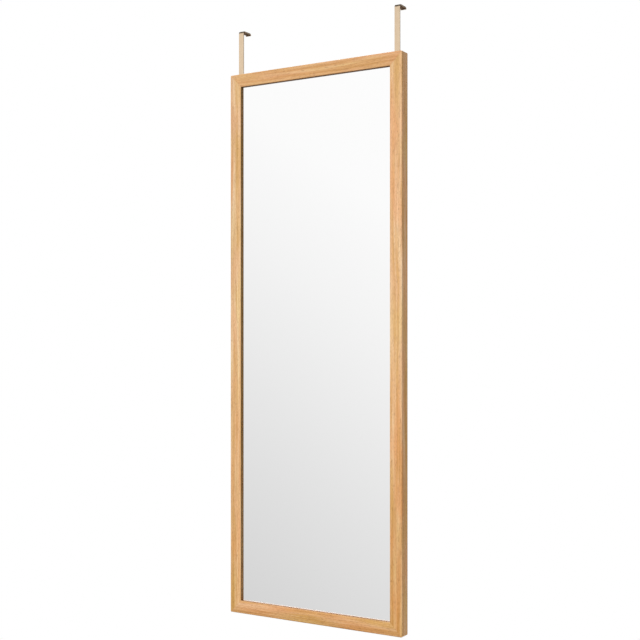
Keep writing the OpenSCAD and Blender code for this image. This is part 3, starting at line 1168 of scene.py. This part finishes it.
@dataclass(frozen=True)
class TurnButtons:
    """Eight stamped buttons that hold the board, each free to turn on its screw."""

    width: float = 9 * MM
    thickness: float = 1 * MM
    reach: float = 15.75 * MM
    hole_radius: float = 1.58 * MM
    hole_sides: int = 32
    drill_past: float = 1 * MM
    foot_y: float = LAND_Y + BUTTON_PLAY
    edge_radius: float = 0.22 * MM
    end_steps: int = 16
    rib: Pair = (5.6 * MM, 12 * MM)
    # Half width and height of the pressed rib
    rib_section: tuple[Pair, ...] = (
        (1.5 * MM, 0.0),
        (1.25 * MM, 0.07 * MM),
        (0.95 * MM, 0.26 * MM),
        (0.6 * MM, 0.36 * MM),
        (0.25 * MM, 0.38 * MM),
    )
    pivot_x: float = 198.25 * MM
    pivot_z: float = 583.25 * MM
    rise: float = 440 * MM
    seed: int = 11

    def pivots(self) -> dict[str, tuple[float, float, float]]:
        """Lists the pivots.

        Returns:
            For each button's node, X and Z of its pivot and the turn of its arm from +X towards +Z.
        """
        places = {
            f"turn_button_{side}_{name}": (sign * self.pivot_x, FRAME_MIDDLE + height, turn)
            for side, sign, turn in (("left", -1, 0.0), ("right", 1, math.pi))
            for name, height in (("upper", self.rise), ("middle", 0.0), ("lower", -self.rise))
        }
        places["turn_button_top"] = (0.0, FRAME_MIDDLE + self.pivot_z, -math.pi / 2)
        places["turn_button_bottom"] = (0.0, FRAME_MIDDLE - self.pivot_z, math.pi / 2)
        return places

    def outline(self, near: float, far: float, radius: float) -> list[Pair]:
        """Lists the points of a slot-shaped outline.

        Args:
            near: Where the middle of its inner round end lies along the arm.
            far: Where the middle of its outer round end lies.
            radius: Radius of both ends.

        Returns:
            The points, the arm along the first axis.
        """
        turns = [math.pi * (i / self.end_steps + 0.5) for i in range(self.end_steps + 1)]
        back = [(near + radius * math.cos(t), radius * math.sin(t)) for t in turns]
        front = [(far - radius * math.cos(t), -radius * math.sin(t)) for t in turns]
        return back + front

    def plate(self, name: str, x: float, z: float, turn: float) -> Object:
        """Builds one button with square edges and a pressed rib along its arm.

        Args:
            name: Name of the piece.
            x: Where its pivot lies.
            z: How high its pivot lies.
            turn: Turn of its arm from +X towards +Z.

        Returns:
            The button.
        """
        cos, sin = math.cos(turn), math.sin(turn)
        top = self.foot_y + self.thickness
        half = self.width / 2
        edge = self.outline(0.0, self.reach - half, half)
        levels = [(self.foot_y, edge), (top, edge)]
        levels += [(top + rise, self.outline(*self.rib, radius)) for radius, rise in self.rib_section]
        shape = bmesh.new()
        loft(
            shape,
            [[(x + u * cos - v * sin, y, z + u * sin + v * cos) for u, v in points] for y, points in levels],
        )
        return object_from(name, shape)

    def bore(self, x: float, z: float) -> Object:
        """Builds the cylinder that cuts a button's pivot hole.

        Args:
            x: Where the pivot lies.
            z: How high the pivot lies.

        Returns:
            The cutter.
        """
        ends = (self.foot_y - self.drill_past, self.foot_y + self.thickness + self.drill_past)
        shape = bmesh.new()
        loft(shape, [ring((x, y, z), self.hole_radius, self.hole_sides) for y in ends])
        return object_from("bore", shape)

    def build(self, screws: ScrewTree) -> None:
        """Builds the buttons and their screws.

        Args:
            screws: The tree that makes the screws.
        """
        zinc = ZincPlate().build()
        seat_y = self.foot_y + self.thickness + BUTTON_PLAY
        seats = []
        for node, (x, z, turn) in self.pivots().items():
            button = self.plate(f"stamped_{node}", x, z, turn)
            button.data.materials.append(zinc)
            cut_and_soften(button, self.bore(x, z), self.edge_radius)
            fit(button, node, node, "zinc_steel")
            seats.append((x, seat_y, z))
        heads = screws.drive("turn_button_screw_set", seats, PAN_HEAD, zinc, self.seed)
        fit(heads, BODY, "turn_button_screws", "zinc_steel")


@dataclass(frozen=True)
class FeltPieces:
    """The felt inside each hook, whose brown under the plate is also painted shade for the plate's underside,
    and the two round bumpers at the frame's foot.
    """

    fibres_per_square_metre: float = 6.0e6
    fibre_length: float = 0.7 * MM
    fibre_radius: float = 0.03 * MM
    thickness: float = 1 * MM
    flat_steps: int = 10
    fold_steps: int = 6
    columns: int = 6
    disc_sides: int = 32
    # Shares of the radius and of the height, from the disc's face to its foot
    disc_profile: tuple[Pair, ...] = (
        (0.3, 1.0),
        (0.6, 0.99),
        (0.85, 0.96),
        (0.96, 0.86),
        (1.0, 0.6),
        (0.98, 0.0),
    )

    def pad(self, node: str) -> Object:
        """Builds the felt strip inside a hook: under its plate, round the rear bend and down the lip.

        Args:
            node: The CAD node that it stands for.

        Returns:
            The strip.
        """
        # The strip is a dark sheet under the plate, where the plate's underside lies in shade: felt and
        # painted shade at once
        low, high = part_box(node)
        bend_z = self.thickness - LIP_BEND
        far = LIP_INSIDE_Y - LIP_BEND
        flat = (low.y + (far - low.y) * i / self.flat_steps for i in range(self.flat_steps))
        rows = [((y, 0.0), (y, self.thickness)) for y in flat]
        for step in range(self.fold_steps + 1):
            turn = math.pi / 2 * (1 - step / self.fold_steps)
            rows.append(
                tuple(
                    (far + radius * math.cos(turn), bend_z + radius * math.sin(turn))
                    for radius in (LIP_BEND - self.thickness, LIP_BEND)
                )
            )
        rows.append(((high.y - self.thickness, low.z), (high.y, low.z)))
        shape = bmesh.new()
        across = [low.x + (high.x - low.x) * i / self.columns for i in range(self.columns + 1)]
        sheets = [[[shape.verts.new((x, *row[face])) for x in across] for row in rows] for face in (0, 1)]
        free, held = sheets
        lines = [pair for sheet in sheets for pair in zip(sheet, sheet[1:])]
        strips = [(one, other, i) for one, other in lines for i in range(self.columns)]
        strips += [(free[row], held[row], i) for i in range(self.columns) for row in (0, -1)]
        for column in (0, -1):
            sides = [[row[column] for row in sheet] for sheet in sheets]
            strips += [(*sides, i) for i in range(len(rows) - 1)]
        for one, other, i in strips:
            shape.faces.new((one[i], one[i + 1], other[i + 1], other[i]))
        return object_from(f"felt_strip_{node}", shape)

    def disc(self, node: str) -> Object:
        """Builds a bumper: a cut felt disc with a pressed rim.

        Args:
            node: The CAD node that it stands for.

        Returns:
            The disc.
        """
        low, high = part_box(node)
        middle = (low + high) / 2
        radius, height = (high.x - low.x) / 2, high.y - low.y
        shape = bmesh.new()
        centre = shape.verts.new((middle.x, low.y + height, middle.z))
        rings = (
            ring((middle.x, low.y + height * rise, middle.z), radius * share, self.disc_sides)
            for share, rise in self.disc_profile
        )
        loops = [[shape.verts.new(point) for point in points] for points in rings]
        for i in range(self.disc_sides):
            j = (i + 1) % self.disc_sides
            shape.faces.new((centre, loops[0][i], loops[0][j]))
            for inner, outer in zip(loops, loops[1:]):
                shape.faces.new((inner[i], outer[i], outer[j], inner[j]))
        shape.faces.new(loops[-1])
        return object_from(f"felt_disc_{node}", shape)

    def build(self, fibres: FibreTree) -> None:
        """Builds the four felt pieces.

        Args:
            fibres: The tree that grows the fibres.
        """
        felt = NeedleFelt().build()
        pieces = {node: self.pad(node) for node in ("hook_pad_left", "hook_pad_right")}
        pieces |= {node: self.disc(node) for node in ("bumper_left", "bumper_right")}
        for seed, (node, piece) in enumerate(pieces.items(), start=1):
            piece.data.materials.append(felt)
            fibres.run(
                piece,
                {
                    "Per square metre": self.fibres_per_square_metre,
                    "Fibre length": self.fibre_length,
                    "Fibre radius": self.fibre_radius,
                    "Seed": seed,
                    "Material": felt,
                },
            )
            fit(piece, BODY, node, "felt")


# ---- Studio ----


@dataclass(frozen=True)
class Studio:
    """Camera, lights, world and floor of the product photograph."""

    camera_place: Point = (1.2518, -2.0685, -0.6928)
    camera_turn: float = math.radians(31.1)
    sensor: float = 36.0
    lens: float = 63.0
    shift: float = 0.0338
    floor_z: float = -2.03
    floor_radius: float = 2.3
    floor_sides: int = 96
    # The floor fades from the first radius on, up to this share of its own
    floor_plain_radius: float = 0.9
    floor_fade_share: float = 0.98
    ambient: float = 0.15
    # Large soft lamps far away: direction, light on a face turned to it in watts per square metre,
    # and the angle that the lamp fills, in degrees
    lamps: Mapping[str, tuple[Point, float, float]] = field(
        default_factory=lambda: {
            "key": ((-0.42, -0.68, 0.50), 3.9, 25.0),
            "right_fill": ((0.93, 0.14, 0.33), 1.25, 35.0),
            "back_fill": ((-0.5, 0.75, 0.45), 1.6, 35.0),
        }
    )
    wall_tones: Stops = (
        (0.10, "#BEBEBE"),
        (0.371, "#D6D6D6"),
        (0.475, "#ECECEC"),
        (0.525, "#F5F5F5"),
        (0.585, "#FDFDFD"),
        (0.65, "#FFFFFF"),
    )
    # Soft panels side by side in the studio's wall: how many, where they start and how bright
    panels: tuple[float, ...] = (7.5, 3.9, 0.12)
    screen_towards: Point = (0.52, 0.81, 0.28)
    # Where the dark ceiling and the dim screen start and are full, and the light before and after
    ceiling: tuple[float, ...] = (0.29, 0.48, 1.0, 0.17)
    screen: tuple[float, ...] = (0.95, 0.988, 1.0, 0.1)

    def set_camera(self) -> None:
        """Makes the level camera, with the small upward shift of the photograph."""
        data = bpy.data.cameras.new("camera")
        data.sensor_width, data.lens, data.shift_y = self.sensor, self.lens, self.shift
        camera = bpy.data.objects.new("camera", data)
        camera.location = self.camera_place
        camera.rotation_euler = (math.pi / 2, 0.0, self.camera_turn)
        bpy.context.scene.collection.objects.link(camera)
        bpy.context.scene.camera = camera

    def set_lamps(self) -> None:
        """Lights the matt pieces from the front and from behind.

        Bare metal and the mirror take their light from the world alone, because a lamp's small
        bright image burns out on them.
        """
        lit = bpy.data.collections.new("matt pieces")
        for piece in bpy.context.scene.objects:
            finishes = {slot.material.name for slot in piece.material_slots if slot.material}
            if piece.type == "MESH" and not finishes & SHINY:
                lit.objects.link(piece)
        for name, (towards, strength, spread) in self.lamps.items():
            data = bpy.data.lights.new(name, "SUN")
            data.energy, data.angle = strength, math.radians(spread)
            lamp = bpy.data.objects.new(name, data)
            lamp.rotation_euler = Vector(towards).to_track_quat("Z", "Y").to_euler()
            lamp.light_linking.receiver_collection = lit
            bpy.context.scene.collection.objects.link(lamp)

    def set_world(self) -> None:
        """Makes a white backdrop, the softly shaded studio that the mirror shows, and a low ambient light."""
        world = bpy.data.worlds.new("studio")
        bpy.context.scene.world = world
        add = partial(add_node, blank_tree(world))
        path = add("ShaderNodeLightPath").outputs
        towards = add("ShaderNodeTexCoord").outputs["Generated"]
        part = add(SEPARATE, (towards,)).outputs
        # The studio is brighter upwards, with soft broad panels side by side; it is dark above the
        # lights, and a dim screen stands behind the object on its right
        count, start, bright = self.panels
        panels = add(MATH, (part["X"], count, start), operation="MULTIPLY_ADD")
        panels = add(MATH, (panels,), operation="SINE")
        level = add(MATH, (panels, bright, part["Z"]), operation="MULTIPLY_ADD")
        level = add(MAP_RANGE, (level, -1.0, 1.0))
        wall = set_stops(add(RAMP, (level,)), self.wall_tones)
        ceiling = add(MAP_RANGE, (part["Z"], *self.ceiling), interpolation_type="SMOOTHSTEP")
        facing = add(VECTOR_MATH, (towards, self.screen_towards), operation="DOT_PRODUCT")
        screen = add(MAP_RANGE, (facing, *self.screen), interpolation_type="SMOOTHSTEP")
        shade = add(MATH, (ceiling, screen), operation="MULTIPLY")
        shown = add(MIX, {0: 1.0, 6: wall, 7: shade}, data_type="RGBA", blend_type="MULTIPLY")
        low = add("ShaderNodeBackground", {"Color": linear("#FFFFFF"), "Strength": self.ambient})
        studio = add("ShaderNodeBackground", {"Color": shown, "Strength": 1.0})
        backdrop = add("ShaderNodeBackground", {"Color": linear("#FFFFFF"), "Strength": 1.0})
        first = add(MATH, (path["Diffuse Depth"], 0.5), operation="LESS_THAN")
        glossy = add(MATH, (path["Is Glossy Ray"], first), operation="MULTIPLY")
        reflected = add("ShaderNodeMixShader", (glossy, low, studio))
        direct = add(MATH, (path["Is Camera Ray"], path["Is Transmission Ray"]), operation="MAXIMUM")
        seen = add("ShaderNodeMixShader", (direct, reflected, backdrop))
        add("ShaderNodeOutputWorld", {"Surface": seen})

    def set_floor(self) -> None:
        """Makes a pale floor that fades into the backdrop and keeps the object's shadow."""
        shape = bmesh.new()
        bmesh.ops.create_circle(shape, cap_ends=True, segments=self.floor_sides, radius=self.floor_radius)
        for vert in shape.verts:
            vert.co.z = self.floor_z
        floor = object_from("floor", shape)
        material = bpy.data.materials.new("pale_studio_floor")
        add = partial(add_node, blank_tree(material))
        place = add("ShaderNodeTexCoord").outputs["Object"]
        flat = add(VECTOR_MATH, (place, (1.0, 1.0, 0.0)), operation="MULTIPLY")
        away = add(VECTOR_MATH, (flat,), operation="LENGTH")
        fade = add(
            MAP_RANGE,
            (away, self.floor_plain_radius, self.floor_radius * self.floor_fade_share),
            interpolation_type="SMOOTHERSTEP",
        )
        matt = add("ShaderNodeBsdfDiffuse", {"Color": linear("#CFCFCF")})
        clear = add("ShaderNodeBsdfTransparent")
        mixed = add("ShaderNodeMixShader", (fade, matt, clear))
        add("ShaderNodeOutputMaterial", {"Surface": mixed})
        floor.data.materials.append(material)

    def build(self) -> None:
        """Sets up the studio, apart from the lamps, which need the pieces that they light."""
        bpy.context.scene.view_settings.view_transform = "Standard"
        self.set_camera()
        self.set_world()
        self.set_floor()
        log.info("studio: camera, world and floor")


def main() -> None:
    """Builds and dresses every piece, then the studio."""
    logging.basicConfig(level=logging.INFO, format="%(message)s")
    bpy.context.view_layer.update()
    studio = Studio()
    studio.build()
    Moulding().dress()
    MirrorPack().dress()
    screws = ScrewTree()
    DoorHooks().build(screws)
    TurnButtons().build(screws)
    FeltPieces().build(FibreTree())
    studio.set_lamps()


if __name__ == "__main__":
    main()
